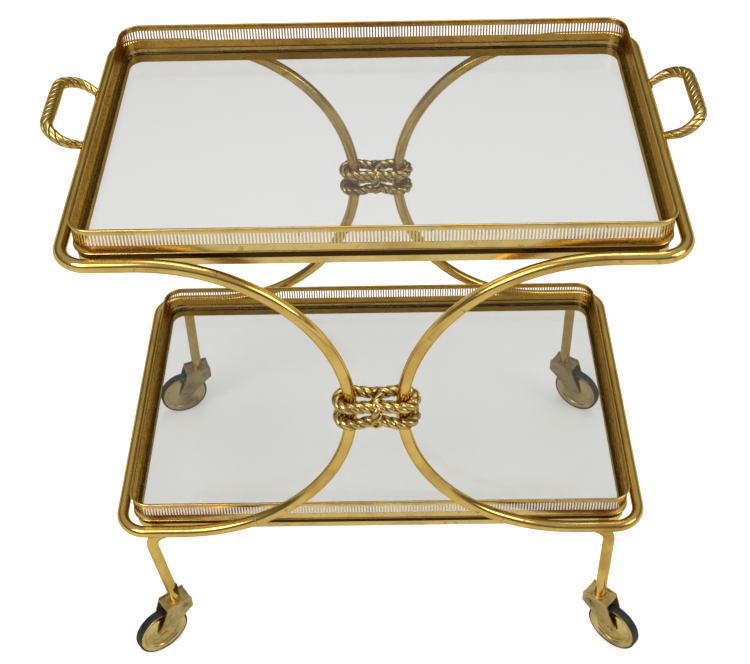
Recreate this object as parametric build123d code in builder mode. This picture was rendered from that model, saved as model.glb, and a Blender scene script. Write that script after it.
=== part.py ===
from build123d import *
from math import atan2, cos, degrees, hypot, radians, sin
import os

# A brass bar cart: two closed tube loops tied by rope knots, two glass trays with pierced galleries,
# two rope handles and four swivel casters. Millimetres, +Z up, +Y to the back.
# The frame is drawn about its own middle and then moved back, so that the origin is on the floor
# under the middle of the whole cart, wheels included.

# Frame tube and the two loops that it is bent into
tube_r = 8.0
tube_wall = 1.2
loop_x = 357.5
loop_y = 239.5
loop_corner = 36.0
arc_r = 238.0
knot_half_gap = 32.0
lower_tube_z = 245.0
move_back = 13.0

# Tray: outline of the pierced strip, measured on its outer face
tray_x = 342.0
tray_y = 224.0
tray_corner = 26.0
rim_above_tube = 39.0
strip_t = 1.0
strip_h = 32.5
bead_r = 2.0
slot_pitch = 8.0
slot_w = 4.0
slot_h = 16.0
slot_drop = 7.8
corner_slots = 5

# Channel that the strip stands on: a flange with an upright web below it
sheet_t = 1.2
foot_out = 1.0
web_inset = 2.0
web_h = 8.3

# Flat bar ring under the web, the glass that lies on it, and the brazed lugs out to the side rails
bar_inset = 2.6
bar_t = 4.6
bar_h = 11.0
glass_t = 4.0
glass_gap = 0.3
lug_y = 150.0
lug_w = 8.0
lug_h = 8.0
braze_gap = 0.1

# Knots: the two rope rings lie above and below the knot's middle
rope_r = 6.5
ring_rises = (17.0, -12.0)
binding_r = 6.2
binding_y = 18.5
binding_half_h = 15.0
binding_rise = 3.0
binding_corner = 12.0
knot_gap = 0.3
boss_r = 6.9
boss_reach = 26.0
boss_rise = -2.0
boss_hole_r = 4.0
boss_hole_deep = 4.0
screw_r = 3.4
screw_h = 2.0

# Rope handles, set behind the middle of the side rails
handle_y = 53.0
handle_span = 56.0
handle_swell = 14.0
handle_shoulder = 24.0
handle_grip = 40.0
handle_reach = 51.0
handle_rise = 25.0
handle_r = 8.5
handle_end_r = 5.2
handle_bend = 28.0
bolt_r = 2.0
bolt_gap = 0.2
bolt_grip = 9.0
nut_r = 4.0
nut_h = 3.0

# Legs: each leaves its tube at the same place. The front left one leans inwards.
leg_x = 316.0
leg_foot_x = {"front_left": 300.0, "front_right": 316.0, "back_left": 316.0, "back_right": 316.0}
leg_bend = 30.0
leg_start_turn = 22.0
leg_straight_foot = 33.0

# Casters: the swivel axis is under each leg and the wheel trails behind it
wheel_r = 40.0
tyre_w = 15.0
tyre_t = 3.0
tyre_round = 1.4
seat_gap = 0.05
trail = 30.0
swivel_angle = {"front_left": 217.0, "front_right": -42.0, "back_left": 202.0, "back_right": -36.0}
crown_top = 90.0
plate_t = 2.0
hood_l = 39.0
hood_w = 28.0
hood_top = 93.0
hood_foot = 73.0
fork_gap = 1.2
fork_end_r = 9.0
fork_straight_z = 50.0
cup_r = 12.3
cup_h = 2.5
swivel_gap = 0.3
run_gap = 0.05
axle_r = 3.0
axle_head_r = 5.5
axle_head_h = 1.6
cross_rivet_r = 2.0
cross_rivet_head_r = 4.3
cross_rivet_back = 8.5
cross_rivet_z = 79.0
stem_r = 4.0
stem_plug_l = 30.0
stem_head_r = 6.5
stem_head_h = 1.8
hub_r = 8.0
hub_side_gap = 0.5
disc_web_w = 10.0
disc_web_r = 26.0
disc_groove_w = 7.0
disc_groove_r = 30.0
disc_rim_w = 13.0

# Places worked out from the sizes above
arc_x = knot_half_gap + arc_r
upper_tube_z = lower_tube_z + 2 * arc_r
knot_z = lower_tube_z + arc_r
tube_z = {"upper": upper_tube_z, "lower": lower_tube_z}
sides = {"left": -1, "right": 1}
ends = {"front": -1, "back": 1}
clear_r = tube_r + braze_gap
bolt_z = upper_tube_z
bolt_ys = (handle_y - handle_span, handle_y + handle_span)

os.makedirs("parts", exist_ok=True)


def save(piece, name):
    piece = piece.moved(Location((0, move_back, 0)))
    piece.label = name
    export_step(piece, f"parts/{name}.step")


def facing(y):
    """Upright plane at y, with local x along X and local y along Z."""
    return Plane((0, y, 0), x_dir=(1, 0, 0), z_dir=(0, -1, 0))


def across(x, y=0.0):
    """Upright plane at x, with local x along Y and local y along Z."""
    return Plane((x, y, 0), x_dir=(0, 1, 0), z_dir=(1, 0, 0))


def rounded_loop(a, b, r):
    """Closed path round a rectangle of half sizes a and b with corner radius r, from the middle of its left side."""
    Line((-a, 0), (-a, -b + r))
    CenterArc((-a + r, -b + r), r, 180, 90)
    Line((-a + r, -b), (a - r, -b))
    CenterArc((a - r, -b + r), r, 270, 90)
    Line((a, -b + r), (a, b - r))
    CenterArc((a - r, b - r), r, 0, 90)
    Line((a - r, b), (-a + r, b))
    CenterArc((-a + r, b - r), r, 90, 90)
    Line((-a, b - r), (-a, 0))


# Side rails: each runs from arc to arc round two corners
for side_name, side in sides.items():
    for level, z in tube_z.items():
        with BuildPart() as rail:
            with BuildLine() as rail_line:
                FilletPolyline(
                    (side * arc_x, -loop_y, z),
                    (side * loop_x, -loop_y, z),
                    (side * loop_x, loop_y, z),
                    (side * arc_x, loop_y, z),
                    radius=loop_corner,
                )
            with BuildSketch(Plane((side * arc_x, -loop_y, z), x_dir=(0, 1, 0), z_dir=(side, 0, 0))):
                Circle(tube_r)
                Circle(tube_r - tube_wall, mode=Mode.SUBTRACT)
            sweep()
            if level == "upper":
                with BuildSketch(Plane((side * (loop_x - 2 * tube_r), 0, z), x_dir=(0, 1, 0), z_dir=(side, 0, 0))):
                    with Locations((bolt_ys[0], 0), (bolt_ys[1], 0)):
                        Circle(bolt_r + bolt_gap)
                extrude(amount=4 * tube_r, mode=Mode.SUBTRACT)
        save(rail.part, f"{side_name}_{level}_rail")

# Arcs: half circles that touch near the middle, where the knots hold them
for side_name, side in sides.items():
    for end_name, end in ends.items():
        with BuildPart() as arc:
            with BuildLine(facing(end * loop_y)) as arc_line:
                CenterArc((side * arc_x, knot_z), arc_r, 90, side * 180)
            with BuildSketch(Plane((side * arc_x, end * loop_y, upper_tube_z), x_dir=(0, 1, 0), z_dir=(side, 0, 0))):
                Circle(tube_r)
                Circle(tube_r - tube_wall, mode=Mode.SUBTRACT)
            sweep()
        save(arc.part, f"{side_name}_{end_name}_arc")


# Trays
def tray_outline(inset):
    """Width, depth and corner radius of the tray's outline moved in from the strip's outer face."""
    return 2 * (tray_x - inset), 2 * (tray_y - inset), tray_corner - inset


def slot_places(length):
    """Middles of the slots along a straight wall, worked out from its length."""
    count = int(length / slot_pitch)
    return [slot_pitch * (i - (count - 1) / 2) for i in range(count)]


for level, z in tube_z.items():
    rim_z = z + rim_above_tube
    strip_top = rim_z - bead_r
    strip_foot = strip_top - strip_h
    slot_mid = rim_z - slot_drop - slot_h / 2
    ledge_z = strip_foot - sheet_t - web_h
    straight_x = 2 * (tray_x - tray_corner)
    straight_y = 2 * (tray_y - tray_corner)

    for end_name, end in ends.items():
        wall_y = end * (tray_y - strip_t / 2)
        with BuildPart() as long_wall:
            with BuildSketch(facing(wall_y)):
                with Locations((0, (strip_top + strip_foot) / 2)):
                    Rectangle(straight_x, strip_h)
                with Locations(*[(x, slot_mid) for x in slot_places(straight_x)]):
                    Rectangle(slot_w, slot_h, mode=Mode.SUBTRACT)
            extrude(amount=strip_t / 2, both=True)
        save(long_wall.part, f"{level}_gallery_{end_name}")

    for side_name, side in sides.items():
        with BuildPart() as short_wall:
            with BuildSketch(across(side * (tray_x - strip_t / 2))):
                with Locations((0, (strip_top + strip_foot) / 2)):
                    Rectangle(straight_y, strip_h)
                with Locations(*[(y, slot_mid) for y in slot_places(straight_y)]):
                    Rectangle(slot_w, slot_h, mode=Mode.SUBTRACT)
            extrude(amount=strip_t / 2, both=True)
        save(short_wall.part, f"{level}_gallery_{side_name}")

    with BuildPart() as corners:
        for side in (-1, 1):
            for end in (-1, 1):
                cx = side * (tray_x - tray_corner)
                cy = end * (tray_y - tray_corner)
                start = degrees(atan2(end, side)) - 45
                with BuildSketch(Plane((cx, cy, strip_foot))):
                    with BuildLine():
                        outer = CenterArc((0, 0), tray_corner, start, 90)
                        inner = CenterArc((0, 0), tray_corner - strip_t, start, 90)
                        Line(outer @ 0, inner @ 0)
                        Line(outer @ 1, inner @ 1)
                    make_face()
                extrude(amount=strip_h)
                for i in range(corner_slots):
                    turn = start + 90 * (i + 0.5) / corner_slots
                    with BuildSketch(
                        Plane((cx, cy, slot_mid), x_dir=(-sin(radians(turn)), cos(radians(turn)), 0),
                              z_dir=(cos(radians(turn)), sin(radians(turn)), 0))
                    ):
                        Rectangle(slot_w, slot_h)
                    extrude(amount=2 * tray_corner, mode=Mode.SUBTRACT)
    save(corners.part, f"{level}_gallery_corners")

    bead_x = tray_x - strip_t / 2
    with BuildPart() as bead:
        with BuildLine(Plane.XY.offset(strip_top)):
            rounded_loop(bead_x, tray_y - strip_t / 2, tray_corner - strip_t / 2)
        with BuildSketch(Plane((-bead_x, 0, strip_top), x_dir=(1, 0, 0), z_dir=(0, -1, 0))):
            Circle(bead_r)
            with Locations((0, -bead_r)):
                Rectangle(4 * bead_r, 2 * bead_r, mode=Mode.SUBTRACT)
        sweep()
    save(bead.part, f"{level}_gallery_bead")

    with BuildPart() as channel:
        for outer_inset, inner_inset, base, height in (
            (-foot_out, web_inset + sheet_t, strip_foot - sheet_t, sheet_t),
            (web_inset, web_inset + sheet_t, ledge_z, web_h),
        ):
            with BuildSketch(Plane.XY.offset(base)):
                RectangleRounded(*tray_outline(outer_inset))
                RectangleRounded(*tray_outline(inner_inset), mode=Mode.SUBTRACT)
            extrude(amount=height)
    save(channel.part, f"{level}_tray_channel")

    with BuildPart() as bar:
        with BuildSketch(Plane.XY.offset(ledge_z - bar_h)):
            RectangleRounded(*tray_outline(bar_inset))
            RectangleRounded(*tray_outline(bar_inset + bar_t), mode=Mode.SUBTRACT)
        extrude(amount=bar_h)
    save(bar.part, f"{level}_frame_bar")

    with BuildPart() as glass:
        glass_inset = web_inset + sheet_t + glass_gap
        with BuildSketch(Plane.XY.offset(ledge_z)):
            RectangleRounded(*tray_outline(glass_inset))
        extrude(amount=glass_t)
    save(glass.part, f"{level}_glass")

    bar_face = tray_x - bar_inset
    lug_top = ledge_z - braze_gap
    lug_saddle = tray_x + foot_out + 1.0
    with BuildPart() as lugs:
        for side in (-1, 1):
            for y in (-lug_y, lug_y):
                with BuildSketch(facing(y)):
                    with BuildLine():
                        Polyline(
                            (side * bar_face, lug_top),
                            (side * bar_face, lug_top - lug_h),
                            (side * loop_x, lug_top - lug_h),
                            (side * (loop_x + tube_r), z - tube_r),
                            (side * loop_x, z),
                            (side * lug_saddle, z),
                            (side * lug_saddle, lug_top),
                            close=True,
                        )
                    make_face()
                    with Locations((side * loop_x, z)):
                        Circle(clear_r, mode=Mode.SUBTRACT)
                extrude(amount=lug_w / 2, both=True)
    save(lugs.part, f"{level}_tray_lugs")

# Knots: each is one casting of two rope rings round both arcs and a rope binding round the rings,
# with a boss and a screw on its outer side
ring_b = tube_r + knot_gap + rope_r


def ring_path(half):
    """Closed path round both arcs, from the front left of the ring."""
    Line((-half, -ring_b), (half, -ring_b))
    CenterArc((half, 0), ring_b, -90, 180)
    Line((half, ring_b), (-half, ring_b))
    CenterArc((-half, 0), ring_b, 90, 180)


for end_name, end in ends.items():
    y = end * loop_y
    with BuildPart() as knot:
        for rise in ring_rises:
            ring_half = arc_x - (arc_r**2 - rise**2) ** 0.5
            with BuildLine(Plane((0, y, knot_z + rise))) as ring_line:
                ring_path(ring_half)
            with BuildSketch(Plane((-ring_half, y - ring_b, knot_z + rise), x_dir=(0, 1, 0), z_dir=(1, 0, 0))):
                Circle(rope_r)
            sweep(path=ring_line.wires()[0])
        with BuildLine(Plane((0, y, knot_z + binding_rise), x_dir=(0, 1, 0), z_dir=(1, 0, 0))) as binding_line:
            rounded_loop(binding_y, binding_half_h, binding_corner)
        with BuildSketch(Plane((0, y - binding_y, knot_z + binding_rise), x_dir=(1, 0, 0), z_dir=(0, 0, -1))):
            Circle(binding_r)
        sweep(path=binding_line.wires()[0])
        with BuildSketch(facing(y + end * boss_reach)):
            with Locations((0, knot_z + boss_rise)):
                Circle(boss_r)
        extrude(amount=end * (boss_reach - ring_b))
        with BuildSketch(facing(y + end * boss_reach)):
            with Locations((0, knot_z + boss_rise)):
                Circle(boss_hole_r)
        extrude(amount=end * boss_hole_deep, mode=Mode.SUBTRACT)
    save(knot.part, f"{end_name}_knot")

screw_seat = loop_y + boss_reach - boss_hole_deep
with BuildPart() as knot_screws:
    for end in (-1, 1):
        with BuildSketch(facing(end * screw_seat)):
            with Locations((0, knot_z + boss_rise)):
                Circle(screw_r)
        extrude(amount=-end * screw_h)
save(knot_screws.part, "knot_screws")

# Handles: thick in the grip and thinner at the bolted ends, rising a little outwards
handle_tilt = atan2(handle_rise, handle_reach)
handle_len = hypot(handle_rise, handle_reach)
bolt_end = loop_x + tube_r + bolt_grip
for side_name, side in sides.items():
    handle_plane = Plane(
        (side * loop_x, handle_y, bolt_z),
        x_dir=(side * cos(handle_tilt), 0, sin(handle_tilt)),
        z_dir=(side * -sin(handle_tilt), 0, cos(handle_tilt)),
    )
    with BuildPart() as handle:
        with BuildLine(handle_plane) as handle_line:
            FilletPolyline(
                (0, -side * handle_span),
                (handle_shoulder, -side * (handle_span + handle_swell)),
                (handle_len, -side * handle_grip),
                (handle_len, side * handle_grip),
                (handle_shoulder, side * (handle_span + handle_swell)),
                (0, side * handle_span),
                radius=handle_bend,
            )
        handle_path = handle_line.wires()[0]
        for place, radius in ((0, handle_end_r), (0.3, handle_r), (0.7, handle_r), (1, handle_end_r)):
            with BuildSketch(Plane(handle_path.position_at(place), z_dir=handle_path.tangent_at(place))):
                Circle(radius)
        sweep(path=handle_path, multisection=True)
        with BuildSketch(facing(handle_y + 2 * handle_span)):
            with Locations((side * loop_x, bolt_z)):
                Circle(clear_r)
        extrude(amount=4 * handle_span, mode=Mode.SUBTRACT)
        with BuildSketch(Plane((side * loop_x, 0, bolt_z), x_dir=(0, 1, 0), z_dir=(side, 0, 0))):
            with Locations((bolt_ys[0], 0), (bolt_ys[1], 0)):
                Circle(bolt_r + bolt_gap)
        extrude(amount=tube_r + bolt_grip + bolt_gap, mode=Mode.SUBTRACT)
    save(handle.part, f"{side_name}_handle")

with BuildPart() as handle_screws:
    for side in (-1, 1):
        nut_face = loop_x - tube_r - bolt_gap
        with BuildSketch(Plane((side * (nut_face - nut_h), 0, bolt_z), x_dir=(0, 1, 0), z_dir=(side, 0, 0))):
            with Locations((bolt_ys[0], 0), (bolt_ys[1], 0)):
                Circle(bolt_r)
        extrude(amount=bolt_end - nut_face + nut_h)
        with BuildSketch(Plane((side * (nut_face - nut_h), 0, bolt_z), x_dir=(0, 1, 0), z_dir=(side, 0, 0))):
            with Locations((bolt_ys[0], 0), (bolt_ys[1], 0)):
                RegularPolygon(nut_r, 6)
        extrude(amount=nut_h)
save(handle_screws.part, "handle_screws")

# Legs: each comes out of the underside of a lower tube as an elbow and turns down to its caster
leg_end_z = crown_top + swivel_gap
elbow_z = lower_tube_z - leg_bend
for side_name, side in sides.items():
    for end_name, end in ends.items():
        y = end * loop_y
        foot_x = leg_foot_x[f"{end_name}_{side_name}"]
        turn = radians(leg_start_turn)
        elbow_x = leg_x - leg_bend
        with BuildPart() as leg:
            with BuildLine(facing(y)) as leg_line:
                CenterArc(
                    (side * elbow_x, elbow_z), leg_bend, 90 - side * leg_start_turn, -side * (90 - leg_start_turn)
                )
                foot_top = elbow_z
                if foot_x < leg_x:
                    foot_top = leg_end_z + leg_straight_foot
                    lean = 2 * atan2(leg_x - foot_x, elbow_z - foot_top)
                    lean_r = (elbow_z - foot_top) / (2 * sin(lean))
                    lean = side * degrees(lean)
                    CenterArc((side * (leg_x - lean_r), elbow_z), lean_r, 90 - side * 90, -lean)
                    CenterArc((side * (foot_x + lean_r), foot_top), lean_r, 90 + side * 90 - lean, lean)
                Line((side * foot_x, foot_top), (side * foot_x, leg_end_z))
            start = (side * (elbow_x + leg_bend * sin(turn)), y, elbow_z + leg_bend * cos(turn))
            with BuildSketch(Plane(start, x_dir=(0, 1, 0), z_dir=(side * cos(turn), 0, -sin(turn)))):
                Circle(tube_r)
                Circle(tube_r - tube_wall, mode=Mode.SUBTRACT)
            sweep(path=leg_line.wires()[0])
            with BuildSketch(Plane((0, y, lower_tube_z), x_dir=(0, 1, 0), z_dir=(side, 0, 0))):
                Circle(clear_r)
            extrude(amount=2 * leg_x, mode=Mode.SUBTRACT)
        save(leg.part, f"{end_name}_{side_name}_leg")

with BuildPart() as stems:
    for name, foot_x in leg_foot_x.items():
        end_name, side_name = name.split("_")
        for z, radius, height in (
            (crown_top - plate_t - swivel_gap - stem_head_h, stem_head_r, stem_head_h),
            (crown_top - plate_t - swivel_gap, stem_r, plate_t + 2 * swivel_gap),
            (leg_end_z, tube_r - tube_wall - seat_gap, stem_plug_l),
        ):
            with BuildSketch(Plane((sides[side_name] * foot_x, ends[end_name] * loop_y, z))):
                Circle(radius)
            extrude(amount=height)
save(stems.part, "caster_stems")

# Casters, each built along its own trail direction
fork_in = tyre_w / 2 + fork_gap
fork_out = fork_in + plate_t
hood_half = hood_w / 2
rim_in_r = wheel_r - tyre_t


for name, angle in swivel_angle.items():
    end_name, side_name = name.split("_")
    x = sides[side_name] * leg_foot_x[name]
    y = ends[end_name] * loop_y
    along = (cos(radians(angle)), sin(radians(angle)), 0)
    lateral = (sin(radians(angle)), -cos(radians(angle)), 0)
    side_plane = Plane((x, y, 0), x_dir=along, z_dir=lateral)
    front_plane = Plane((x, y, 0), x_dir=(-lateral[0], -lateral[1], 0), z_dir=along)
    wheel_plane = Plane((x + trail * along[0], y + trail * along[1], wheel_r), x_dir=along, z_dir=lateral)

    with BuildPart() as fork:
        with BuildSketch(front_plane.offset(-hood_l)):
            with BuildLine():
                Polyline(
                    (-hood_half, hood_top),
                    (-hood_half, hood_foot),
                    (-fork_out, fork_straight_z),
                    (-fork_out, 0),
                    (-fork_in, 0),
                    (-fork_in, fork_straight_z),
                    (-hood_half + plate_t, hood_foot),
                    (-hood_half + plate_t, crown_top - plate_t),
                    (hood_half - plate_t, crown_top - plate_t),
                    (hood_half - plate_t, hood_foot),
                    (fork_in, fork_straight_z),
                    (fork_in, 0),
                    (fork_out, 0),
                    (fork_out, fork_straight_z),
                    (hood_half, hood_foot),
                    (hood_half, hood_top),
                    (hood_half - plate_t, hood_top),
                    (hood_half - plate_t, crown_top),
                    (-hood_half + plate_t, crown_top),
                    (-hood_half + plate_t, hood_top),
                    close=True,
                )
            make_face()
        extrude(amount=3 * hood_l)
        with BuildSketch(side_plane):
            with Locations((0, (hood_top + hood_foot) / 2)):
                Rectangle(hood_l, hood_top - hood_foot)
            with Locations((trail, wheel_r)):
                Circle(fork_end_r)
            make_hull()
        extrude(amount=hood_w, both=True, mode=Mode.INTERSECT)
        with BuildSketch(Plane((x, y, crown_top))):
            Circle(cup_r)
            Circle(tube_r + swivel_gap, mode=Mode.SUBTRACT)
        extrude(amount=cup_h)
        with BuildSketch(Plane((x, y, crown_top - plate_t))):
            Circle(stem_r + run_gap)
        extrude(amount=plate_t, mode=Mode.SUBTRACT)
        with BuildSketch(side_plane):
            with Locations((trail, wheel_r)):
                Circle(axle_r + seat_gap)
            with Locations((-cross_rivet_back, cross_rivet_z)):
                Circle(cross_rivet_r + seat_gap)
        extrude(amount=hood_w, both=True, mode=Mode.SUBTRACT)
    save(fork.part, f"{name}_fork")

    with BuildPart() as rivets:
        with BuildSketch(side_plane):
            with Locations((trail, wheel_r)):
                Circle(axle_r)
        extrude(amount=fork_out + axle_head_h, both=True)
        with BuildSketch(side_plane):
            with Locations((-cross_rivet_back, cross_rivet_z)):
                Circle(cross_rivet_r)
        extrude(amount=hood_half + axle_head_h, both=True)
        for hand in (-1, 1):
            with BuildSketch(side_plane.offset(hand * fork_out)):
                with Locations((trail, wheel_r)):
                    Circle(axle_head_r)
            extrude(amount=hand * axle_head_h)
            with BuildSketch(side_plane.offset(hand * hood_half)):
                with Locations((-cross_rivet_back, cross_rivet_z)):
                    Circle(cross_rivet_head_r)
            extrude(amount=hand * axle_head_h)
    save(rivets.part, f"{name}_rivets")

    with BuildPart() as disc:
        with BuildSketch(wheel_plane):
            Circle(rim_in_r - seat_gap)
            Circle(disc_groove_r, mode=Mode.SUBTRACT)
        extrude(amount=disc_rim_w / 2, both=True)
        with BuildSketch(wheel_plane):
            Circle(disc_groove_r)
        extrude(amount=disc_groove_w / 2, both=True)
        with BuildSketch(wheel_plane):
            Circle(disc_web_r)
        extrude(amount=disc_web_w / 2, both=True)
        with BuildSketch(wheel_plane):
            Circle(hub_r)
        extrude(amount=fork_in - hub_side_gap, both=True)
        with BuildSketch(wheel_plane):
            Circle(axle_r + run_gap)
        extrude(amount=hood_w, both=True, mode=Mode.SUBTRACT)
    save(disc.part, f"{name}_wheel_disc")

    with BuildPart() as tyre:
        with BuildSketch(Plane((wheel_plane.origin.X, wheel_plane.origin.Y, wheel_r), x_dir=lateral, z_dir=along)):
            with Locations((0, wheel_r - tyre_t / 2)):
                tread = Rectangle(tyre_w, tyre_t)
            fillet(tread.vertices().group_by(Axis.Z)[-1], tyre_round)
        revolve(axis=Axis((wheel_plane.origin.X, wheel_plane.origin.Y, wheel_r), lateral))
    save(tyre.part, f"{name}_tyre")
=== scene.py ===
from math import atan2, cos, hypot, pi, radians, sin

import bmesh
import bpy
from mathutils import Matrix, Vector


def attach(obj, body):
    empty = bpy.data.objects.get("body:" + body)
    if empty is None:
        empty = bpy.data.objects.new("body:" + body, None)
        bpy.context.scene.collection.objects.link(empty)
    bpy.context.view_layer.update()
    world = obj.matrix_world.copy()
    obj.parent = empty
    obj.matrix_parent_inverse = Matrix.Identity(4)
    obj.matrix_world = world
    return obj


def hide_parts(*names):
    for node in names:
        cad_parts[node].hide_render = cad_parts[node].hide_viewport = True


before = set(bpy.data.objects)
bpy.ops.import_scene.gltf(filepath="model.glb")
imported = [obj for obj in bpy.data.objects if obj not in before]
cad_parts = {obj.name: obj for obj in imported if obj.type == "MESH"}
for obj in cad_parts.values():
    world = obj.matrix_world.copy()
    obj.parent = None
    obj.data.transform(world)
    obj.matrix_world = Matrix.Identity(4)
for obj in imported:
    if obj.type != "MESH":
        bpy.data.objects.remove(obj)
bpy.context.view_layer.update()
scene = bpy.context.scene
scene.view_settings.view_transform = "Standard"

# The camera stands in front of the cart and looks down on it at a steep angle.
camera_data = bpy.data.cameras.new("camera")
camera_data.sensor_width = 36
camera_data.lens = 62.17
camera = bpy.data.objects.new("camera", camera_data)
camera.location = (0.0197, -1.3409, 1.6520)
camera.rotation_mode = "QUATERNION"
turned = Matrix.Rotation(radians(0.99), 4, "Z") @ Matrix.Rotation(radians(47.03), 4, "X")
camera.rotation_quaternion = (turned @ Matrix.Rotation(radians(-1.51), 4, "Z")).to_quaternion()
scene.collection.objects.link(camera)
scene.camera = camera

# The studio: a white floor that keeps a faint shadow, a white surround, and three soft lamps.
# The surround is white to the eye and in glass, and has a darker band for metal to mirror.
world = bpy.data.worlds.new("studio")
scene.world = world
world.use_nodes = True
nodes, links = world.node_tree.nodes, world.node_tree.links
surround = nodes["Background"]
direction = nodes.new("ShaderNodeTexCoord")
split = nodes.new("ShaderNodeSeparateXYZ")
height = nodes.new("ShaderNodeValToRGB")
height.color_ramp.interpolation = "EASE"
stops = height.color_ramp.elements
stops[0].position, stops[0].color = 0.0, (0.50, 0.50, 0.50, 1)
stops[1].position, stops[1].color = 1.0, (0.52, 0.52, 0.52, 1)
for place, grey in ((0.45, 0.95), (0.50, 1.0), (0.53, 0.30), (0.62, 0.09), (0.72, 0.18), (0.80, 0.42)):
    stop = stops.new(place)
    stop.color = (grey, grey, grey, 1)
centre = nodes.new("ShaderNodeMapRange")
centre.inputs["From Min"].default_value = -1
rays = nodes.new("ShaderNodeLightPath")
seen = nodes.new("ShaderNodeMath")
seen.operation = "MAXIMUM"
pick = nodes.new("ShaderNodeMix")
pick.data_type = "RGBA"
pick.inputs[7].default_value = (1, 1, 1, 1)
links.new(direction.outputs["Generated"], split.inputs[0])
links.new(split.outputs["Z"], centre.inputs["Value"])
links.new(centre.outputs["Result"], height.inputs["Fac"])
links.new(rays.outputs["Is Camera Ray"], seen.inputs[0])
links.new(rays.outputs["Is Transmission Ray"], seen.inputs[1])
links.new(seen.outputs[0], pick.inputs[0])
links.new(height.outputs["Color"], pick.inputs[6])
links.new(pick.outputs[2], surround.inputs["Color"])

for lamp_name, place, aim, size, power in (
    ("key", (-1.5, -1.6, 2.6), (0, 0, 0.5), 1.4, 34),
    ("fill", (2.2, -0.9, 1.9), (0, 0, 0.4), 1.2, 16),
    ("top", (0.2, 0.65, 2.9), (0, 0, 0.4), 1.4, 22),
):
    lamp_data = bpy.data.lights.new(lamp_name, "AREA")
    lamp_data.size = size
    lamp_data.energy = power
    lamp = bpy.data.objects.new(lamp_name, lamp_data)
    lamp.location = place
    lamp.rotation_euler = (Vector(place) - Vector(aim)).to_track_quat("Z", "Y").to_euler()
    scene.collection.objects.link(lamp)

floor_bm = bmesh.new()
bmesh.ops.create_grid(floor_bm, x_segments=1, y_segments=1, size=4)
floor_mesh = bpy.data.meshes.new("floor")
floor_bm.to_mesh(floor_mesh)
floor_bm.free()
floor = bpy.data.objects.new("floor", floor_mesh)
scene.collection.objects.link(floor)
floor_paint = bpy.data.materials.new("floor_paint")
floor_paint.use_nodes = True
nodes, links = floor_paint.node_tree.nodes, floor_paint.node_tree.links
matt = nodes["Principled BSDF"]
matt.inputs["Base Color"].default_value = (0.86, 0.86, 0.86, 1)
matt.inputs["Roughness"].default_value = 0.9
matt.inputs["Specular IOR Level"].default_value = 0.1
glow = nodes.new("ShaderNodeEmission")
rays = nodes.new("ShaderNodeLightPath")
seen = nodes.new("ShaderNodeMath")
seen.operation = "MAXIMUM"
glow_level = nodes.new("ShaderNodeMath")
glow_level.operation = "MULTIPLY"
glow_level.inputs[1].default_value = 0.55
both = nodes.new("ShaderNodeAddShader")
links.new(rays.outputs["Is Camera Ray"], seen.inputs[0])
links.new(rays.outputs["Is Transmission Ray"], seen.inputs[1])
links.new(seen.outputs[0], glow_level.inputs[0])
links.new(glow_level.outputs[0], glow.inputs["Strength"])
links.new(matt.outputs[0], both.inputs[0])
links.new(glow.outputs[0], both.inputs[1])
links.new(both.outputs[0], nodes["Material Output"].inputs["Surface"])
floor.data.materials.append(floor_paint)

# Two closed loops of round brass tube, one at each side. Each is bent from two side rails and two
# half-circle arcs, brazed end to end and polished. Its surface is aged: brown spots and dull patches.
TUBE_R = 0.008
LOOP_X = 0.3575
LOOP_Y = 0.2395
LOOP_CORNER = 0.036
ARC_R = 0.238
ARC_X = 0.270
LOWER_Z = 0.245
UPPER_Z = 0.721
# Pieces are drawn about the middle of the frame, which stands this far behind the origin.
MOVE_BACK = 0.013


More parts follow.
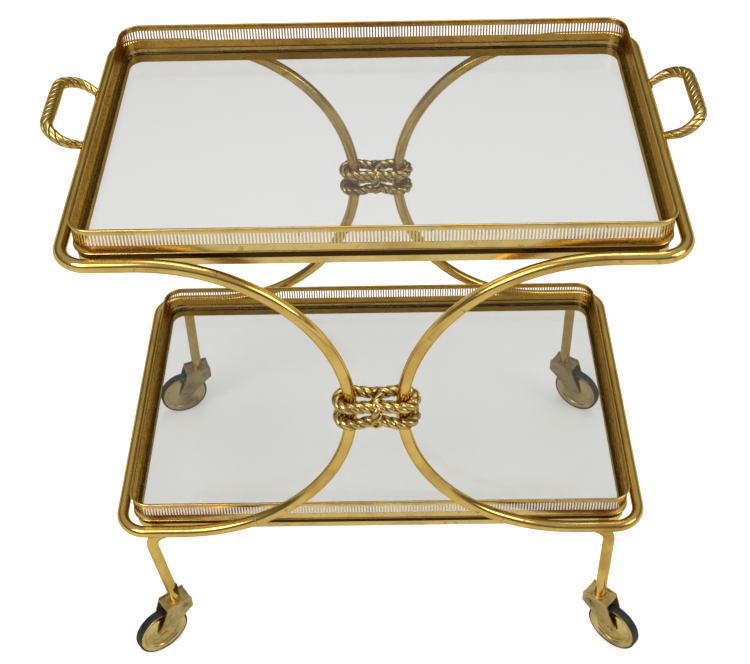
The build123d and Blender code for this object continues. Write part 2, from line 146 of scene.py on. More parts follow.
def patina_group():
    """Aged brass: clean metal, brown tarnish in clouds and specks, and a fine bump from the specks."""
    group = bpy.data.node_groups.new("brass_patina", "ShaderNodeTree")
    face = group.interface
    face.new_socket("Clean", in_out="INPUT", socket_type="NodeSocketColor")
    face.new_socket("Tarnish", in_out="INPUT", socket_type="NodeSocketColor")
    for name in ("Amount", "Scale", "Polish", "Dull"):
        face.new_socket(name, in_out="INPUT", socket_type="NodeSocketFloat")
    face.new_socket("Color", in_out="OUTPUT", socket_type="NodeSocketColor")
    face.new_socket("Roughness", in_out="OUTPUT", socket_type="NodeSocketFloat")
    face.new_socket("Height", in_out="OUTPUT", socket_type="NodeSocketFloat")
    n, k = group.nodes, group.links
    inp, out = n.new("NodeGroupInput"), n.new("NodeGroupOutput")
    coord = n.new("ShaderNodeTexCoord")
    clouds = n.new("ShaderNodeTexNoise")
    clouds.inputs["Detail"].default_value = 5
    clouds.inputs["Roughness"].default_value = 0.62
    k.new(coord.outputs["Object"], clouds.inputs["Vector"])
    k.new(inp.outputs["Scale"], clouds.inputs["Scale"])
    cloud_mask = n.new("ShaderNodeMapRange")
    cloud_mask.inputs["From Min"].default_value = 0.46
    cloud_mask.inputs["From Max"].default_value = 0.72
    k.new(clouds.outputs["Fac"], cloud_mask.inputs["Value"])
    finer = n.new("ShaderNodeMath")
    finer.operation = "MULTIPLY"
    finer.inputs[1].default_value = 9
    k.new(inp.outputs["Scale"], finer.inputs[0])
    specks = n.new("ShaderNodeTexNoise")
    specks.inputs["Detail"].default_value = 3
    k.new(coord.outputs["Object"], specks.inputs["Vector"])
    k.new(finer.outputs[0], specks.inputs["Scale"])
    speck_mask = n.new("ShaderNodeMapRange")
    speck_mask.inputs["From Min"].default_value = 0.60
    speck_mask.inputs["From Max"].default_value = 0.74
    k.new(specks.outputs["Fac"], speck_mask.inputs["Value"])
    most = n.new("ShaderNodeMath")
    most.operation = "MAXIMUM"
    k.new(cloud_mask.outputs["Result"], most.inputs[0])
    k.new(speck_mask.outputs["Result"], most.inputs[1])
    share = n.new("ShaderNodeMath")
    share.operation = "MULTIPLY"
    share.use_clamp = True
    k.new(most.outputs[0], share.inputs[0])
    k.new(inp.outputs["Amount"], share.inputs[1])
    tint = n.new("ShaderNodeMix")
    tint.data_type = "RGBA"
    k.new(share.outputs[0], tint.inputs[0])
    k.new(inp.outputs["Clean"], tint.inputs[6])
    k.new(inp.outputs["Tarnish"], tint.inputs[7])
    rough = n.new("ShaderNodeMix")
    k.new(share.outputs[0], rough.inputs[0])
    k.new(inp.outputs["Polish"], rough.inputs[2])
    k.new(inp.outputs["Dull"], rough.inputs[3])
    k.new(tint.outputs[2], out.inputs["Color"])
    k.new(rough.outputs[0], out.inputs["Roughness"])
    k.new(specks.outputs["Fac"], out.inputs["Height"])
    return group


PATINA = patina_group()


def aged_brass(name, clean, tarnish, amount, scale, polish, dull, bump=0.04):
    """A brass material from two colours, the share and scale of the tarnish, and two roughnesses."""
    paint = bpy.data.materials.new(name)
    paint.use_nodes = True
    n, k = paint.node_tree.nodes, paint.node_tree.links
    metal = n["Principled BSDF"]
    metal.inputs["Metallic"].default_value = 1
    metal.inputs["Specular Tint"].default_value = (1.0, 0.80, 0.42, 1)
    age = n.new("ShaderNodeGroup")
    age.node_tree = PATINA
    age.inputs["Clean"].default_value = (*clean, 1)
    age.inputs["Tarnish"].default_value = (*tarnish, 1)
    for key, value in (("Amount", amount), ("Scale", scale), ("Polish", polish), ("Dull", dull)):
        age.inputs[key].default_value = value
    relief = n.new("ShaderNodeBump")
    relief.inputs["Strength"].default_value = bump
    relief.inputs["Distance"].default_value = 0.0005
    k.new(age.outputs["Color"], metal.inputs["Base Color"])
    k.new(age.outputs["Roughness"], metal.inputs["Roughness"])
    k.new(age.outputs["Height"], relief.inputs["Height"])
    k.new(relief.outputs["Normal"], metal.inputs["Normal"])
    return paint


def painted_side_shade_group():
    """Darkens a colour by side, as painted shade: faces that look to the middle of the tray get one shade
    colour, and faces that look away get another.
    """
    group = bpy.data.node_groups.new("side_shade_painted", "ShaderNodeTree")
    for name in ("Color", "Inside", "Outside"):
        group.interface.new_socket(name, in_out="INPUT", socket_type="NodeSocketColor")
    group.interface.new_socket("Color", in_out="OUTPUT", socket_type="NodeSocketColor")
    n, k = group.nodes, group.links
    inp, out = n.new("NodeGroupInput"), n.new("NodeGroupOutput")
    coord = n.new("ShaderNodeTexCoord")
    level = n.new("ShaderNodeVectorMath")
    level.operation = "MULTIPLY"
    level.inputs[1].default_value = (1, 1, 0)
    shape = n.new("ShaderNodeNewGeometry")
    outwards = n.new("ShaderNodeVectorMath")
    outwards.operation = "DOT_PRODUCT"
    side = n.new("ShaderNodeMapRange")
    side.inputs["From Min"].default_value = 0.03
    side.inputs["From Max"].default_value = 0.12
    shade = n.new("ShaderNodeMix")
    shade.data_type = "RGBA"
    tinted = n.new("ShaderNodeMix")
    tinted.data_type = "RGBA"
    tinted.blend_type = "MULTIPLY"
    tinted.inputs[0].default_value = 1
    k.new(coord.outputs["Object"], level.inputs[0])
    k.new(level.outputs["Vector"], outwards.inputs[0])
    k.new(shape.outputs["True Normal"], outwards.inputs[1])
    k.new(outwards.outputs["Value"], side.inputs["Value"])
    k.new(side.outputs["Result"], shade.inputs[0])
    k.new(inp.outputs["Inside"], shade.inputs[6])
    k.new(inp.outputs["Outside"], shade.inputs[7])
    k.new(inp.outputs["Color"], tinted.inputs[6])
    k.new(shade.outputs[2], tinted.inputs[7])
    k.new(tinted.outputs[2], out.inputs["Color"])
    return group


PAINTED_SIDE_SHADE = painted_side_shade_group()


def paint_side_shade(paint, inside, outside):
    """Puts the painted side shade before a material's base colour."""
    n, k = paint.node_tree.nodes, paint.node_tree.links
    base = n["Principled BSDF"].inputs["Base Color"]
    tint = n.new("ShaderNodeGroup")
    tint.node_tree = PAINTED_SIDE_SHADE
    tint.inputs["Inside"].default_value = (*inside, 1)
    tint.inputs["Outside"].default_value = (*outside, 1)
    k.new(base.links[0].from_socket, tint.inputs["Color"])
    k.new(tint.outputs["Color"], base)


def tube_start(bm, radius, place, heading, sides=24):
    """The open end of a tube at a place, facing along its heading. Returns its edges."""
    verts = bmesh.ops.create_circle(bm, radius=radius, segments=sides)["verts"]
    turn = Vector((0, 0, 1)).rotation_difference(Vector(heading)).to_matrix().to_4x4()
    bmesh.ops.transform(bm, matrix=Matrix.Translation(place) @ turn, verts=verts)
    return list({e for v in verts for e in v.link_edges})


def run(bm, edges, move, steps=1):
    """Carries a tube's end straight on."""
    for _ in range(steps):
        made = bmesh.ops.extrude_edge_only(bm, edges=edges)["geom"]
        verts = {g for g in made if isinstance(g, bmesh.types.BMVert)}
        bmesh.ops.translate(bm, vec=Vector(move) / steps, verts=list(verts))
        edges = [g for g in made if isinstance(g, bmesh.types.BMEdge) and set(g.verts) <= verts]
    return edges


def bend(bm, edges, centre, axis, angle, steps):
    """Carries a tube's end round a centre, in degrees."""
    made = bmesh.ops.spin(
        bm, geom=edges, cent=centre, axis=axis, angle=radians(angle), steps=steps, use_merge=False,
    )
    return [g for g in made["geom_last"] if isinstance(g, bmesh.types.BMEdge)]


def piece(name, bm, paint, body, sharp=40):
    """Makes a finished piece that rides on a body. Its faces point outwards and its joins are closed."""
    bmesh.ops.translate(bm, vec=(0, MOVE_BACK, 0), verts=bm.verts)
    bmesh.ops.remove_doubles(bm, verts=bm.verts, dist=0.00002)
    bmesh.ops.recalc_face_normals(bm, faces=bm.faces)
    for edge in bm.edges:
        edge.smooth = not edge.is_manifold or edge.calc_face_angle(0) < radians(sharp)
    for f in bm.faces:
        f.smooth = True
    mesh = bpy.data.meshes.new(name)
    bm.to_mesh(mesh)
    bm.free()
    made = bpy.data.objects.new(name, mesh)
    scene.collection.objects.link(made)
    mesh.materials.append(paint)
    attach(made, body)
    return made


def dress(node_name, paint):
    """Gives a piece that is kept as it stands in the frame its material."""
    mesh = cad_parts[node_name].data
    mesh.materials.clear()
    mesh.materials.append(paint)


TUBE_BRASS = aged_brass("tube_brass", (0.76, 0.52, 0.145), (0.36, 0.19, 0.04), 0.7, 11, 0.15, 0.36, 0.05)

for side_name, s in (("left", -1), ("right", 1)):
    bm = bmesh.new()
    straight = LOOP_Y - LOOP_CORNER
    short = LOOP_X - LOOP_CORNER - ARC_X
    turn_x = s * (LOOP_X - LOOP_CORNER)
    knot_z = (UPPER_Z + LOWER_Z) / 2
    end = tube_start(bm, TUBE_R, (s * LOOP_X, 0, UPPER_Z), (0, -1, 0))
    end = run(bm, end, (0, -straight, 0), 4)
    end = bend(bm, end, (turn_x, -straight, UPPER_Z), (0, 0, 1), -s * 90, 12)
    end = run(bm, end, (-s * short, 0, 0))
    end = bend(bm, end, (s * ARC_X, -LOOP_Y, knot_z), (0, 1, 0), -s * 180, 72)
    end = run(bm, end, (s * short, 0, 0))
    end = bend(bm, end, (turn_x, -straight, LOWER_Z), (0, 0, 1), s * 90, 12)
    end = run(bm, end, (0, 2 * straight, 0), 8)
    end = bend(bm, end, (turn_x, straight, LOWER_Z), (0, 0, 1), s * 90, 12)
    end = run(bm, end, (-s * short, 0, 0))
    end = bend(bm, end, (s * ARC_X, LOOP_Y, knot_z), (0, 1, 0), s * 180, 72)
    end = run(bm, end, (s * short, 0, 0))
    end = bend(bm, end, (turn_x, straight, UPPER_Z), (0, 0, 1), -s * 90, 12)
    run(bm, end, (0, -straight, 0), 4)
    loop = piece(f"{side_name}_loop", bm, TUBE_BRASS, "frame")
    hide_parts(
        f"{side_name}_upper_rail",
        f"{side_name}_lower_rail",
        f"{side_name}_front_arc",
        f"{side_name}_back_arc",
    )

# Brazed butt seams in the loops: thin rings where two lengths of tube meet.
SEAM_TURN = radians(26)
SEAM_STEP = 0.0003
SEAM_BRASS = aged_brass("seam_brass", (0.40, 0.26, 0.09), (0.20, 0.11, 0.03), 0.8, 30, 0.35, 0.5)
for side_name, s in (("left", -1), ("right", 1)):
    bm = bmesh.new()
    for y in (-LOOP_Y, LOOP_Y):
        spot = Vector((s * (ARC_X - ARC_R * sin(SEAM_TURN)), y, knot_z - ARC_R * cos(SEAM_TURN)))
        heading = Vector((-s * cos(SEAM_TURN), 0, sin(SEAM_TURN)))
        end = tube_start(bm, TUBE_R + 0.00005, spot - heading * 2 * SEAM_STEP, heading)
        for length, grow, middle in ((1, 1.02, -1), (2, 1, 0), (1, 0.98, 2)):
            end = run(bm, end, heading * length * SEAM_STEP)
            bmesh.ops.scale(
                bm, vec=(grow, grow, grow), space=Matrix.Translation(-(spot + heading * middle * SEAM_STEP)),
                verts=list({v for e in end for v in e.verts}),
            )
    piece(f"{side_name}_seams", bm, SEAM_BRASS, "frame")

# Four legs of the same tube. Each leaves the underside of a lower tube as an elbow that is brazed on,
# and turns down into its caster. The front left leg leans inwards.
LEG_X = 0.316
FOOT_X = {"front_left": 0.300, "front_right": 0.316, "back_left": 0.316, "back_right": 0.316}
LEG_BEND = 0.030
LEG_START_TURN = 22
LEG_FOOT = 0.0903
LEG_IN_CUP = 0.004
LEAN = {"front_left": 7.68}
for side_name, s in (("left", -1), ("right", 1)):
    for end_name, e in (("front", -1), ("back", 1)):
        bm = bmesh.new()
        y, elbow_z = e * LOOP_Y, LOWER_Z - LEG_BEND
        start_turn = radians(LEG_START_TURN)
        heading = (s * cos(start_turn), 0, -sin(start_turn))
        first_x = LEG_X - LEG_BEND * (1 - sin(start_turn))
        end = tube_start(bm, TUBE_R - 0.00005, (s * first_x, y, elbow_z + LEG_BEND * cos(start_turn)), heading)
        lean = LEAN.get(f"{end_name}_{side_name}", 0)
        elbow = (s * (LEG_X - LEG_BEND), y, elbow_z)
        end = bend(bm, end, elbow, (0, 1, 0), s * (90 - LEG_START_TURN + lean), 14)
        cup_z = LEG_FOOT + LEG_IN_CUP
        fall = cup_z - elbow_z + LEG_BEND * sin(radians(lean))
        leaning = Vector((s * sin(radians(lean)) / cos(radians(lean)), 0, 1))
        end = run(bm, end, leaning * fall, 3)
        for v in {v for x in end for v in x.verts}:
            v.co += leaning * (cup_z - v.co.z)
        run(bm, end, (0, 0, -LEG_IN_CUP))
        bmesh.ops.edgenet_fill(bm, edges=[x for x in bm.edges if x.is_boundary])
        leg = piece(f"{end_name}_{side_name}_leg_tube", bm, TUBE_BRASS, "frame")
        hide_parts(f"{end_name}_{side_name}_leg")

# Two trays. The wall of each is a pierced brass strip, bent round the corners, with a round bead
# along its top and a rolled foot. It stands on a channel of patinated brass whose outward faces are
# painted near-black, as painted shade in the recess under the strip, and a flat polished bar runs below.
# The inward faces of the strip, beads and bar are darkened too: painted shade inside the walls.
TRAY_X = 0.342
TRAY_Y = 0.224
TRAY_CORNER = 0.026
RIM = {"upper": 0.760, "lower": 0.284}
SLOT_PITCH = 0.004
STRIP_T = 0.001
# Depths below the rim: the strip's foot, the slots' feet and tops, and the strip's top.
STRIP_ROWS = (0.0345, 0.0240, 0.0080, 0.0030)
BEAD_R, BEAD_DROP, HEM_R, HEM_DROP = 0.0020, 0.0020, 0.0013, 0.0350
BAR_INSET, BAR_T, BAR_TOP, BAR_FOOT, BAR_EDGE = 0.0026, 0.0046, 0.0440, 0.0550, 0.001


def go_round(bm, edges, steps=10):
    """Carries a profile that stands at the middle of the left side once round the tray."""
    x, y = TRAY_X - TRAY_CORNER, TRAY_Y - TRAY_CORNER
    edges = run(bm, edges, (0, -y, 0))
    edges = bend(bm, edges, (-x, -y, 0), (0, 0, 1), 90, steps)
    edges = run(bm, edges, (2 * x, 0, 0), 2)
    edges = bend(bm, edges, (x, -y, 0), (0, 0, 1), 90, steps)
    edges = run(bm, edges, (0, 2 * y, 0), 2)
    edges = bend(bm, edges, (x, y, 0), (0, 0, 1), 90, steps)
    edges = run(bm, edges, (-2 * x, 0, 0), 2)
    edges = bend(bm, edges, (-x, y, 0), (0, 0, 1), 90, steps)
    return run(bm, edges, (0, -y, 0))


def on_wall(distance, out):
    """Place in plan at a distance along the tray's wall, from the middle of the left side, moved out."""
    x, y, r = TRAY_X - TRAY_CORNER, TRAY_Y - TRAY_CORNER, TRAY_CORNER
    quarter = r * pi / 2
    legs = (
        (y, (-x - r, 0), (0, -1)), (quarter, (-x, -y), 180), (2 * x, (-x, -y - r), (1, 0)),
        (quarter, (x, -y), 270), (2 * y, (x + r, -y), (0, 1)), (quarter, (x, y), 0),
        (2 * x, (x, y + r), (-1, 0)), (quarter, (-x, y), 90), (y + 1, (-x - r, y), (0, -1)),
    )
    for length, start, way in legs:
        if distance <= length:
            break
        distance -= length
    if isinstance(way, tuple):
        side = Vector((way[1], -way[0]))
        return Vector(start) + Vector(way) * distance + side * out
    turn = radians(way) + distance / r
    return Vector(start) + Vector((cos(turn), sin(turn))) * (r + out)


STRIP_BRASS = aged_brass("strip_brass", (0.74, 0.54, 0.19), (0.36, 0.20, 0.05), 0.6, 14, 0.22, 0.42, 0.04)
# Inward faces of the strip, beads and bar are darkened: painted shade inside the tray walls.
paint_side_shade(STRIP_BRASS, (0.55, 0.42, 0.24), (1, 1, 1))
SHADED_CHANNEL_BRASS = aged_brass("dark_brass", (0.50, 0.34, 0.10), (0.25, 0.14, 0.035), 0.6, 12, 0.26, 0.45)
# Outward faces of the channel and lugs are painted near-black: painted shade in the recess under the strip.
paint_side_shade(SHADED_CHANNEL_BRASS, (0.8, 0.8, 0.8), (0.10, 0.08, 0.06))
round_length = 4 * (TRAY_X - TRAY_CORNER) + 4 * (TRAY_Y - TRAY_CORNER) + 2 * pi * TRAY_CORNER
slot_count = round(round_length / SLOT_PITCH)
for level, rim in RIM.items():
    bm = bmesh.new()
    bmesh.ops.create_grid(bm, x_segments=2 * slot_count, y_segments=3, size=0.5)
    rows = sorted({round(v.co.y, 4) for v in bm.verts})
    heights = {row: rim - drop for row, drop in zip(rows, STRIP_ROWS)}
    columns = {v: round((v.co.x + 0.5) * 2 * slot_count) for v in bm.verts}
    holes = [
        f for f in bm.faces
        if min(columns[v] for v in f.verts) % 2 == 1 and abs(f.calc_center_median().y) < 0.1
    ]
    bmesh.ops.delete(bm, geom=holes, context="FACES")
    bmesh.ops.delete(bm, geom=[e for e in bm.edges if not e.link_faces], context="EDGES")
    for v in bm.verts:
        spot = on_wall(columns[v] / (2 * slot_count) * round_length, -STRIP_T / 2)
        v.co = (spot.x, spot.y, heights[round(v.co.y, 4)])
    bmesh.ops.remove_doubles(bm, verts=bm.verts, dist=0.00001)
    bmesh.ops.recalc_face_normals(bm, faces=bm.faces)
    bmesh.ops.solidify(bm, geom=bm.faces[:], thickness=STRIP_T)
    strip = piece(f"{level}_pierced_strip", bm, STRIP_BRASS, "frame", sharp=30)
    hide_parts(*[f"{level}_gallery_{w}" for w in ("front", "back", "left", "right", "corners")])

    bm = bmesh.new()
    for radius, drop in ((BEAD_R, BEAD_DROP), (HEM_R, HEM_DROP)):
        go_round(bm, tube_start(bm, radius, (-TRAY_X + STRIP_T / 2, 0, rim - drop), (0, -1, 0), 14))
    bead = piece(f"{level}_beads", bm, STRIP_BRASS, "frame")
    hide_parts(f"{level}_gallery_bead")

    bm = bmesh.new()
    bar_out, bar_in = TRAY_X - BAR_INSET, TRAY_X - BAR_INSET - BAR_T
    bar_top, bar_foot = rim - BAR_TOP, rim - BAR_FOOT
    corners = [bm.verts.new((-a, 0, b)) for a, b in (
        (bar_out, bar_foot + BAR_EDGE), (bar_out, bar_top - BAR_EDGE), (bar_out - BAR_EDGE, bar_top),
        (bar_in, bar_top), (bar_in, bar_foot), (bar_out - BAR_EDGE, bar_foot),
    )]
    go_round(bm, [bm.edges.new((corners[i], corners[(i + 1) % 6])) for i in range(6)])
    bar = piece(f"{level}_bar", bm, STRIP_BRASS, "frame", sharp=30)
    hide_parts(f"{level}_frame_bar")

    for node_name in (f"{level}_tray_channel", f"{level}_tray_lugs"):
        dress(node_name, SHADED_CHANNEL_BRASS)

# A plate of clear glass lies loose on the ledge of each channel. It is float glass with a faint grey
# tint, 4 mm thick.
# The lower plate gets a darker tint than the upper: painted shade, as less light reaches the lower tray. The
# faint grey tint itself is the glass's own.
for level, tint in (("upper", 0.615), ("lower", 0.545)):
    glass = bpy.data.materials.new(f"{level}_clear_glass")
    glass.use_nodes = True
    nodes, links = glass.node_tree.nodes, glass.node_tree.links
    pane = nodes["Principled BSDF"]
    pane.inputs["Base Color"].default_value = (tint, tint * 1.005, tint * 0.98, 1)
    pane.inputs["IOR"].default_value = 1.45
    pane.inputs["Transmission Weight"].default_value = 1.0
    smear = nodes.new("ShaderNodeTexNoise")
    smear.inputs["Scale"].default_value = 14
    smear_range = nodes.new("ShaderNodeMapRange")
    smear_range.inputs["From Min"].default_value = 0.45
    smear_range.inputs["To Max"].default_value = 0.03
    smear_coord = nodes.new("ShaderNodeTexCoord")
    clear = nodes.new("ShaderNodeBsdfTransparent")
    clear.inputs["Color"].default_value = (0.93, 0.94, 0.93, 1)
    rays = nodes.new("ShaderNodeLightPath")
    choose = nodes.new("ShaderNodeMixShader")
    links.new(smear_coord.outputs["Object"], smear.inputs["Vector"])
    links.new(smear.outputs["Fac"], smear_range.inputs["Value"])
    links.new(smear_range.outputs["Result"], pane.inputs["Roughness"])
    links.new(rays.outputs["Is Shadow Ray"], choose.inputs[0])
    links.new(pane.outputs[0], choose.inputs[1])
    links.new(clear.outputs[0], choose.inputs[2])
    links.new(choose.outputs[0], nodes["Material Output"].inputs["Surface"])
    dress(f"{level}_glass", glass)

# Cast brass knots that look like laid rope tie the arcs together, front and back. Two rope rings lie
# round both tubes, and a third rope binds them in the middle. A screw closes its lower end.
ROPE_BRASS = aged_brass("rope_brass", (0.70, 0.50, 0.17), (0.26, 0.16, 0.045), 0.8, 28, 0.22, 0.42, 0.1)
nodes, links = ROPE_BRASS.node_tree.nodes, ROPE_BRASS.node_tree.links
metal = nodes["Principled BSDF"]
# The rope's grooves are darkened to near-black brown by the groove layer: painted shade in the hollows, with
# some tarnish.
depth = nodes.new("ShaderNodeAttribute")
depth.attribute_name = "groove"
hollow = nodes.new("ShaderNodeMapRange")
hollow.inputs["From Min"].default_value = 0.20
hollow.inputs["From Max"].default_value = 0.85
hollow.inputs["To Max"].default_value = 0.90
groove_shade_and_tarnish = nodes.new("ShaderNodeMix")
groove_shade_and_tarnish.data_type = "RGBA"
groove_shade_and_tarnish.inputs[7].default_value = (0.045, 0.026, 0.008, 1)
links.new(depth.outputs["Fac"], hollow.inputs["Value"])
links.new(hollow.outputs["Result"], groove_shade_and_tarnish.inputs[0])
links.new(metal.inputs["Base Color"].links[0].from_socket, groove_shade_and_tarnish.inputs[6])
links.new(groove_shade_and_tarnish.outputs[2], metal.inputs["Base Color"])
ROPE_R = 0.0065


def rope(bm, path, radii, lay, across, strands=3, groove=0.30, narrow=1.8, sides=30, closed=False):
    """Lays a twisted rope along a path of points. The strands turn once in each lay length. across is
    square to the path. The groove layer is 1 at the bottom of a groove."""
    count = len(path)
    travelled = 0.0
    across = Vector(across)
    total = sum((path[(i + 1) % count] - path[i]).length for i in range(count if closed else count - 1))
    turns = round(total / lay * strands) / strands if closed else total / lay
    depth = bm.verts.layers.float.get("groove") or bm.verts.layers.float.new("groove")
    verts = bmesh.ops.create_circle(bm, radius=1, segments=sides)["verts"]
    for v in verts:
        v[depth] = (1 - abs(cos(atan2(v.co.y, v.co.x) * strands / 2))) ** narrow
        v.co *= 1 - groove * v[depth]
    edges = list({e for v in verts for e in v.link_edges})
    placed = Matrix.Identity(4)
    for i in range(count + (1 if closed else 0)):
        spot = path[i % count]
        if closed:
            ahead = (path[(i + 1) % count] - path[(i - 1) % count]).normalized()
        else:
            ahead = (path[min(i + 1, count - 1)] - path[max(i - 1, 0)]).normalized()
        if i:
            travelled += (spot - path[(i - 1) % count]).length
        across = (across - ahead * across.dot(ahead)).normalized()
        other = ahead.cross(across)
        turn = 2 * pi * turns * travelled / total
        right = across * cos(turn) + other * sin(turn)
        up = ahead.cross(right)
        size = radii[i % count] if isinstance(radii, list) else radii
        axes = Matrix((right, up, ahead)).transposed().to_4x4()
        matrix = Matrix.Translation(spot) @ axes @ Matrix.Scale(size, 4)
        if i == 0:
            bmesh.ops.transform(bm, matrix=matrix, verts=verts)
        else:
            made = bmesh.ops.extrude_edge_only(bm, edges=edges)["geom"]
            verts = [g for g in made if isinstance(g, bmesh.types.BMVert)]
            bmesh.ops.transform(bm, matrix=matrix @ placed.inverted(), verts=verts)
            edges = [g for g in made if isinstance(g, bmesh.types.BMEdge) and set(g.verts) <= set(verts)]
        placed = matrix


def stadium(half, reach, y, z, waist, waist_rise):
    """Closed path round both tubes, drawn in a little at the waist, where the binding holds it."""
    points = []
    for way, (start, stop) in enumerate(((-half, half), (half, -half))):
        face = (-1, 1)[way]
        for i in range(30):
            x = start + (stop - start) * i / 30
            pull = (0.5 + 0.5 * cos(pi * x / half)) if abs(x) < half else 0
            points.append(Vector((x, y + face * (reach - waist * pull), z + waist_rise * pull)))
        for i in range(22):
            turn = -face * -pi / 2 + pi * i / 22
            points.append(Vector((stop + reach * cos(turn), y + reach * sin(turn), z)))
    return points


RING_B = TUBE_R + 0.0010 + ROPE_R
RING_ROPE_R, RING_LAY, RING_WAIST = ROPE_R + 0.0010, 0.034, 0.003
# Height of each ring over the knot's middle, and how far its waist is drawn up.
RING_RISES = ((0.0170, -0.0015), (-0.0120, 0.0045))
BINDING_R, BINDING_LAY, BINDING_BEND = 0.0075, 0.032, 0.012
BINDING_HALF_Y, BINDING_HALF_Z, BINDING_RISE = 0.0065, 0.003, 0.003
BOSS_R, BOSS_DROP, BOSS_REACH, BOSS_EDGE, BOSS_HOLE_DEEP = 0.0069, 0.002, 0.0252, 0.0008, 0.0040
for end_name, e in (("front", -1), ("back", 1)):
    bm = bmesh.new()
    y = e * LOOP_Y
    for rise, waist_rise in RING_RISES:
        half = ARC_X - (ARC_R**2 - rise**2) ** 0.5
        points = stadium(half, RING_B, y, knot_z + rise, RING_WAIST, waist_rise)
        rope(bm, points, RING_ROPE_R, RING_LAY, (0, 0, 1), closed=True)
    points = []
    for cy, cz, start in ((-1, -1, 180), (1, -1, 270), (1, 1, 0), (-1, 1, 90)):
        for i in range(13):
            turn = radians(start + 90 * i / 12)
            points.append(Vector((
                0,
                y + cy * BINDING_HALF_Y + BINDING_BEND * cos(turn),
                knot_z + BINDING_RISE + cz * BINDING_HALF_Z + BINDING_BEND * sin(turn),
            )))
    rope(bm, points, BINDING_R, BINDING_LAY, (1, 0, 0), closed=True)
    last = tube_start(bm, BOSS_R, (0, y + e * RING_B, knot_z - BOSS_DROP), (0, e, 0), 32)
    last = run(bm, last, (0, e * (BOSS_REACH - RING_B), 0))
    last = run(bm, last, (0, e * BOSS_EDGE, 0))
    for radius, step in ((0.93, None), (0.58, 0), (0.56, -BOSS_HOLE_DEEP)):
        if step is not None:
            last = run(bm, last, (0, e * step, 0))
        rim_verts = list({v for x in last for v in x.verts})
        middle = sum((v.co for v in rim_verts), Vector()) / len(rim_verts)
        size = BOSS_R * radius / (rim_verts[0].co - middle).length
        bmesh.ops.scale(bm, vec=(size, 1, size), space=Matrix.Translation(-middle), verts=rim_verts)
    bmesh.ops.edgenet_fill(bm, edges=[x for x in bm.edges if x.is_boundary])
    knot = piece(f"{end_name}_rope_knot", bm, ROPE_BRASS, "frame")
    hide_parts(f"{end_name}_knot")

# Cast brass rope handles, thick in the grip and slim at the ends, where bolts hold them to the rails.
HANDLE_Y, HANDLE_SPAN, HANDLE_SWELL = 0.053, 0.056, 0.014
HANDLE_REACH, HANDLE_RISE, HANDLE_BEND = 0.051, 0.025, 0.025
HANDLE_SHOULDER, HANDLE_GRIP, HANDLE_START, HANDLE_SPREAD = 0.033, 0.051, 0.0068, 0.004
HANDLE_END_R, HANDLE_GROWTH, HANDLE_LAY, HANDLE_STEP = 0.0050, 0.0037, 0.0450, 0.0008
tilt = atan2(HANDLE_RISE, HANDLE_REACH)
reach = hypot(HANDLE_RISE, HANDLE_REACH)
for side_name, s in (("left", -1), ("right", 1)):
    half_plan = (
        (HANDLE_START, HANDLE_SPAN + HANDLE_SPREAD), (HANDLE_SHOULDER, HANDLE_SPAN + HANDLE_SWELL),
        (reach, HANDLE_GRIP),
    )
    plan = [Vector((x, -y)) for x, y in half_plan] + [Vector(p) for p in reversed(half_plan)]
    smooth_line = [plan[0]]
    for before, corner, after in zip(plan, plan[1:], plan[2:]):
        a, b = (before - corner).normalized(), (after - corner).normalized()
        half = a.angle(b) / 2
        cut = HANDLE_BEND / (sin(half) / cos(half))
        middle = corner + (a + b).normalized() * (HANDLE_BEND / sin(half))
        start, stop = corner + a * cut, corner + b * cut
        sweep = (start - middle).angle_signed(stop - middle)
        smooth_line += [middle + Matrix.Rotation(-sweep * i / 10, 2) @ (start - middle) for i in range(11)]
    smooth_line.append(plan[-1])
    points = []
    for a, b in zip(smooth_line, smooth_line[1:]):
        pieces = max(1, round((b - a).length / HANDLE_STEP))
        points += [a + (b - a) * i / pieces for i in range(pieces)]
    points.append(smooth_line[-1])
    spread = [0.0]
    for a, b in zip(points, points[1:]):
        spread.append(spread[-1] + (b - a).length)
    radii = [HANDLE_END_R + HANDLE_GROWTH * sin(pi * d / spread[-1]) ** 0.8 for d in spread]
    path = [
        Vector((s * (LOOP_X + p.x * cos(tilt)), HANDLE_Y + p.y, UPPER_Z + p.x * sin(tilt)))
        for p in points
    ]
    bm = bmesh.new()
    across = (-s * sin(tilt), 0, cos(tilt))
    rope(bm, path, radii, HANDLE_LAY, across, strands=4, groove=0.13, narrow=3.4, sides=88)
    bmesh.ops.edgenet_fill(bm, edges=[x for x in bm.edges if x.is_boundary])
    handle = piece(f"{side_name}_rope_handle", bm, ROPE_BRASS, "frame")
    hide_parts(f"{side_name}_handle")

# Four swivel casters. The fork is pressed from sheet brass with a hood round the leg end, the wheel
# is two pressed discs with a stepped face, and the tyre is dark grey rubber with two tread grooves.
CASTER_BRASS = aged_brass("caster_brass", (0.76, 0.59, 0.25), (0.26, 0.18, 0.065), 0.75, 26, 0.18, 0.42, 0.06)
FORK_BRASS = aged_brass("fork_brass", (0.56, 0.44, 0.20), (0.22, 0.16, 0.065), 0.8, 40, 0.38, 0.62, 0.05)
SCREW = aged_brass("dark_screw", (0.10, 0.07, 0.03), (0.03, 0.02, 0.01), 0.9, 60, 0.4, 0.6)
RUBBER = bpy.data.materials.new("tyre_rubber")
RUBBER.use_nodes = True
nodes, links = RUBBER.node_tree.nodes, RUBBER.node_tree.links
rubber = nodes["Principled BSDF"]
dust = nodes.new("ShaderNodeTexNoise")
dust.inputs["Scale"].default_value = 90
dust.inputs["Detail"].default_value = 4
dust_tint = nodes.new("ShaderNodeValToRGB")
dust_tint.color_ramp.elements[0].position = 0.4
dust_tint.color_ramp.elements[0].color = (0.006, 0.006, 0.007, 1)
dust_tint.color_ramp.elements[1].position = 0.75
dust_tint.color_ramp.elements[1].color = (0.030, 0.030, 0.031, 1)
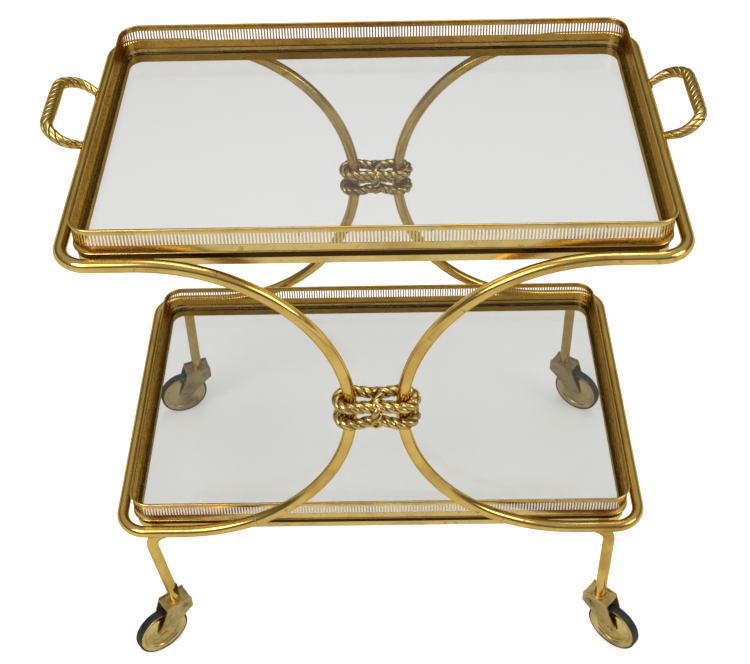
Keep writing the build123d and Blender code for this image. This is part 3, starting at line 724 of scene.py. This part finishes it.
dust_coord = nodes.new("ShaderNodeTexCoord")
dust_bump = nodes.new("ShaderNodeBump")
dust_bump.inputs["Strength"].default_value = 0.15
dust_bump.inputs["Distance"].default_value = 0.0005
links.new(dust_coord.outputs["Object"], dust.inputs["Vector"])
links.new(dust.outputs["Fac"], dust_tint.inputs["Fac"])
links.new(dust_tint.outputs["Color"], rubber.inputs["Base Color"])
links.new(dust.outputs["Fac"], dust_bump.inputs["Height"])
links.new(dust_bump.outputs["Normal"], rubber.inputs["Normal"])
rubber.inputs["Roughness"].default_value = 0.5
WHEEL_R, TRAIL = 0.040, 0.030
# One side of each turned piece, as radius and distance from the wheel's middle plane.
TYRE_SIDE = (
    (0.0371, 0.0051), (0.0376, 0.0055), (0.0390, 0.0055), (0.0397, 0.0052), (0.0400, 0.0044),
    (0.0400, 0.0025), (0.0396, 0.0023), (0.0396, 0.0016), (0.0400, 0.0013),
)
DISC_SIDE = (
    (0.0031, 0.0080), (0.0070, 0.0080), (0.0078, 0.0072), (0.0080, 0.0050), (0.0225, 0.0039),
    (0.0246, 0.0034), (0.0256, 0.0028), (0.0290, 0.0028), (0.0299, 0.0034), (0.0306, 0.0048),
    (0.0318, 0.0052), (0.0345, 0.0049), (0.0356, 0.0056), (0.0362, 0.0061), (0.0368, 0.0059),
    (0.0370, 0.0052),
)
SWIVEL = {"front_left": 217, "front_right": -42, "back_left": 202, "back_right": -36}
for name, angle in SWIVEL.items():
    end_name, side_name = name.split("_")
    turn = radians(angle)
    s, e = (-1 if side_name == "left" else 1), (-1 if end_name == "front" else 1)
    foot = Vector((s * FOOT_X[name], e * LOOP_Y, 0))
    axle = foot + Vector((TRAIL * cos(turn), TRAIL * sin(turn), WHEEL_R))
    stand = Matrix.Translation(axle) @ Matrix.Rotation(turn, 4, "Z")
    for part_name, half, paint, slot in (
        ("tyre", TYRE_SIDE, RUBBER, "tyre_rubber"),
        ("wheel_disc", DISC_SIDE, CASTER_BRASS, "caster_brass"),
    ):
        bm = bmesh.new()
        outline = [(a, -b) for a, b in half] + list(reversed(half))
        verts = [bm.verts.new((a, b, 0)) for a, b in outline]
        ring = [bm.edges.new((verts[i], verts[(i + 1) % len(verts)])) for i in range(len(verts))]
        bmesh.ops.spin(
            bm, geom=ring, cent=(0, 0, 0), axis=(0, 1, 0), angle=2 * pi, steps=72, use_merge=True,
        )
        bmesh.ops.transform(bm, matrix=stand, verts=bm.verts)
        wheel = piece(f"{name}_{part_name}_turned", bm, paint, f"{name}_wheel", sharp=50)
        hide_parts(f"{name}_{part_name}")
    for node_name in (f"{name}_fork", f"{name}_rivets"):
        dress(node_name, FORK_BRASS)
        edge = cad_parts[node_name].modifiers.new("worn_edges", "BEVEL")
        edge.width = 0.0004
        edge.segments = 2
        edge.angle_limit = radians(50)

# Screws and stems of dark, oxidised brass. Each handle bolt ends inside the rope, and has a hexagon nut.
BOLT_R, BOLT_START, BOLT_SPARE = 0.0020, 0.0015, 0.0050
NUT_R, NUT_H, NUT_GAP = 0.0040, 0.0030, 0.0002
bm = bmesh.new()
for s in (-1, 1):
    for y in (HANDLE_Y - HANDLE_SPAN, HANDLE_Y + HANDLE_SPAN):
        head = tube_start(bm, BOLT_R, (s * (LOOP_X + TUBE_R + BOLT_START), y, UPPER_Z), (-s, 0, 0), 16)
        run(bm, head, (-s * (2 * TUBE_R + BOLT_SPARE), 0, 0))
        nut = tube_start(bm, NUT_R, (s * (LOOP_X - TUBE_R - NUT_GAP), y, UPPER_Z), (-s, 0, 0), 6)
        run(bm, nut, (-s * NUT_H, 0, 0))
bmesh.ops.edgenet_fill(bm, edges=[x for x in bm.edges if x.is_boundary])
bolts = piece("handle_bolts", bm, SCREW, "frame", sharp=30)
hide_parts("handle_screws")
for node_name in ("knot_screws", "caster_stems"):
    dress(node_name, SCREW)
